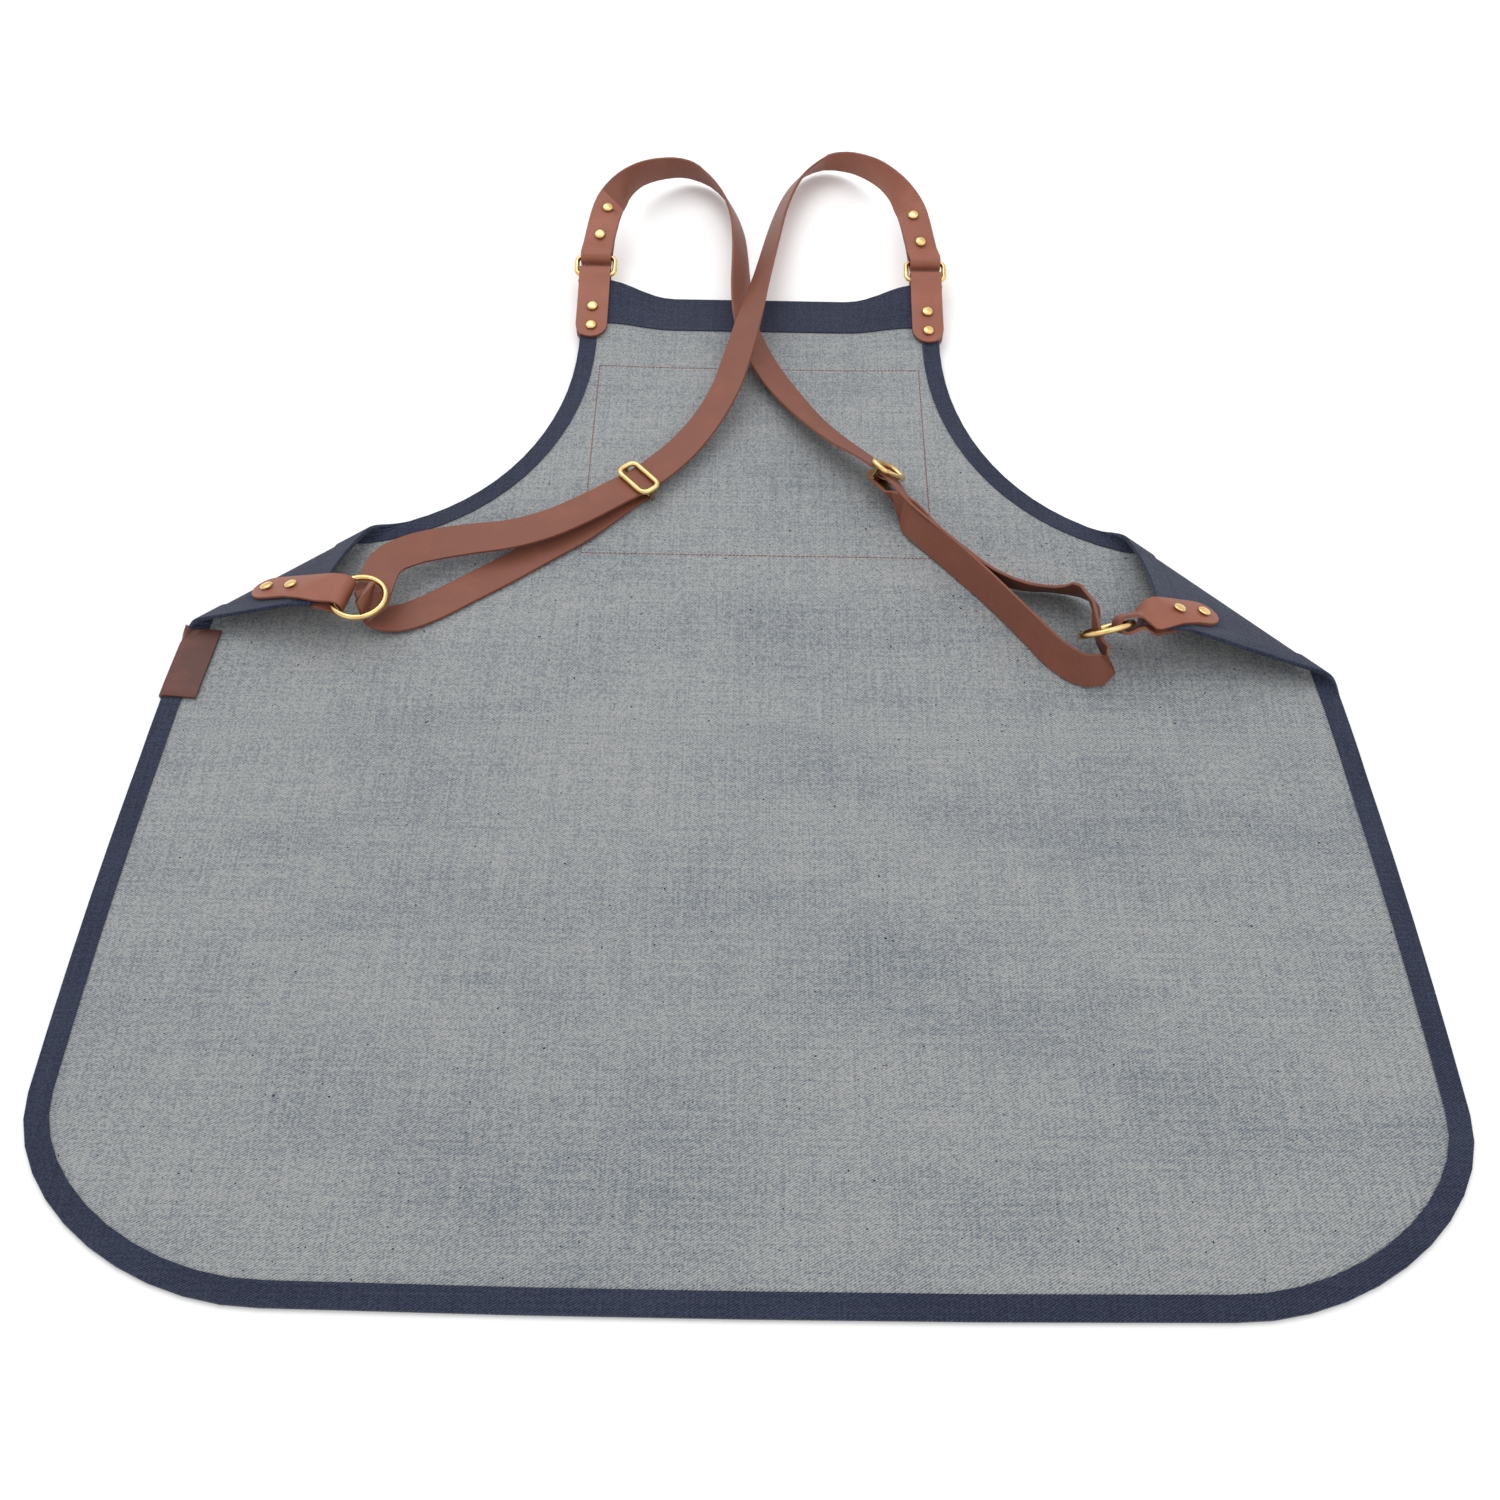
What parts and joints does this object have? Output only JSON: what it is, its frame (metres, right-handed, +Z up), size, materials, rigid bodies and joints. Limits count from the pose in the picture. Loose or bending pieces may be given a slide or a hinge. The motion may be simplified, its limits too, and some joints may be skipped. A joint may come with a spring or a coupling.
{
  "type": "butcher apron",
  "caption": "Denim butcher apron lying inside face up, with a tapered bib, curved armholes, bound edges, a chest pocket and crossed leather shoulder straps on brass rings.",
  "frame": {"origin": "under the middle of the bounding box, on the surface the apron lies on", "axes": "+Y from the hem to the bib, +X across the skirt, +Z up out of the inside face"},
  "size_m": [0.804, 0.9874, 0.0466],
  "materials": {
    "armhole_binding_left": "dark indigo, woven",
    "armhole_binding_right": "dark indigo, woven",
    "bib_facing": "dark indigo, woven",
    "body_panel": "unbleached inner side of raw denim, twill",
    "chest_panel": "dark indigo, woven",
    "chest_pocket": "dark indigo, woven",
    "edge_patch": "dark brown, smooth",
    "shoulder_ring_left": "polished",
    "shoulder_ring_right": "polished",
    "shoulder_tab_left": "chestnut grain side, smooth",
    "shoulder_tab_right": "chestnut grain side, smooth",
    "shoulder_tab_rivet_left_1": "polished",
    "shoulder_tab_rivet_left_2": "polished",
    "shoulder_tab_rivet_right_1": "polished",
    "shoulder_tab_rivet_right_2": "polished",
    "skirt_binding": "dark indigo, woven",
    "slider_left": "polished",
    "slider_right": "polished",
    "strap_left": "chestnut grain side, smooth",
    "strap_right": "chestnut grain side, smooth",
    "strap_rivet_left_1": "polished",
    "strap_rivet_left_2": "polished",
    "strap_rivet_right_1": "polished",
    "strap_rivet_right_2": "polished",
    "waist_ring_left": "polished",
    "waist_ring_right": "polished",
    "waist_tab_left": "chestnut grain side, smooth",
    "waist_tab_right": "chestnut grain side, smooth",
    "waist_tab_rivet_left_1": "polished",
    "waist_tab_rivet_left_2": "polished",
    "waist_tab_rivet_right_1": "polished",
    "waist_tab_rivet_right_2": "polished"
  },
  "bodies": {
    "apron": {"armhole_binding_left": "armhole_binding_left", "armhole_binding_right": "armhole_binding_right", "bib_facing": "bib_facing", "body_panel": "body_panel", "chest_panel": "chest_panel", "chest_pocket": "chest_pocket", "edge_patch": "edge_patch", "shoulder_tab_left": "shoulder_tab_left", "shoulder_tab_right": "shoulder_tab_right", "shoulder_tab_rivet_left_1": "shoulder_tab_rivet_left_1", "shoulder_tab_rivet_left_2": "shoulder_tab_rivet_left_2", "shoulder_tab_rivet_right_1": "shoulder_tab_rivet_right_1", "shoulder_tab_rivet_right_2": "shoulder_tab_rivet_right_2", "skirt_binding": "skirt_binding", "strap_left": "strap_left", "strap_right": "strap_right", "strap_rivet_left_1": "strap_rivet_left_1", "strap_rivet_left_2": "strap_rivet_left_2", "strap_rivet_right_1": "strap_rivet_right_1", "strap_rivet_right_2": "strap_rivet_right_2", "waist_tab_left": "waist_tab_left", "waist_tab_right": "waist_tab_right", "waist_tab_rivet_left_1": "waist_tab_rivet_left_1", "waist_tab_rivet_left_2": "waist_tab_rivet_left_2", "waist_tab_rivet_right_1": "waist_tab_rivet_right_1", "waist_tab_rivet_right_2": "waist_tab_rivet_right_2"},
    "shoulder_ring_left_body": {"shoulder_ring_left": "shoulder_ring_left"},
    "shoulder_ring_right_body": {"shoulder_ring_right": "shoulder_ring_right"},
    "waist_ring_left_body": {"waist_ring_left": "waist_ring_left"},
    "waist_ring_right_body": {"waist_ring_right": "waist_ring_right"},
    "slider_left_body": {"slider_left": "slider_left"},
    "slider_right_body": {"slider_right": "slider_right"}
  },
  "joints": [
    {"name": "shoulder_ring_left_swing", "type": "hinge", "parent": "apron", "child": "shoulder_ring_left_body", "pos_m": [-0.1345, 0.32142, 0.01922], "axis": [1, 0, 0], "range_deg": [-6, 6]},
    {"name": "shoulder_ring_right_swing", "type": "hinge", "parent": "apron", "child": "shoulder_ring_right_body", "pos_m": [0.1345, 0.32142, 0.01922], "axis": [1, 0, 0], "range_deg": [-6, 6]},
    {"name": "waist_ring_left_swing", "type": "hinge", "parent": "apron", "child": "waist_ring_left_body", "pos_m": [-0.27926, -0.03593, 0.03197], "axis": [0.2113, 0.9774, -0.0107], "range_deg": [-6, 6]},
    {"name": "waist_ring_right_swing", "type": "hinge", "parent": "apron", "child": "waist_ring_right_body", "pos_m": [0.24586, -0.0507, 0.03164], "axis": [-0.0455, -0.6669, 0.7437], "range_deg": [-6, 6]},
    {"name": "slider_left_slide", "type": "slide", "parent": "apron", "child": "slider_left_body", "axis": [0.6242, -0.7803, -0.039], "range_m": [-0.0015, 0.0025]},
    {"name": "slider_right_slide", "type": "slide", "parent": "apron", "child": "slider_right_body", "axis": [-0.7494, -0.662, 0.0075], "range_m": [-0.0015, 0.0025]}
  ]
}
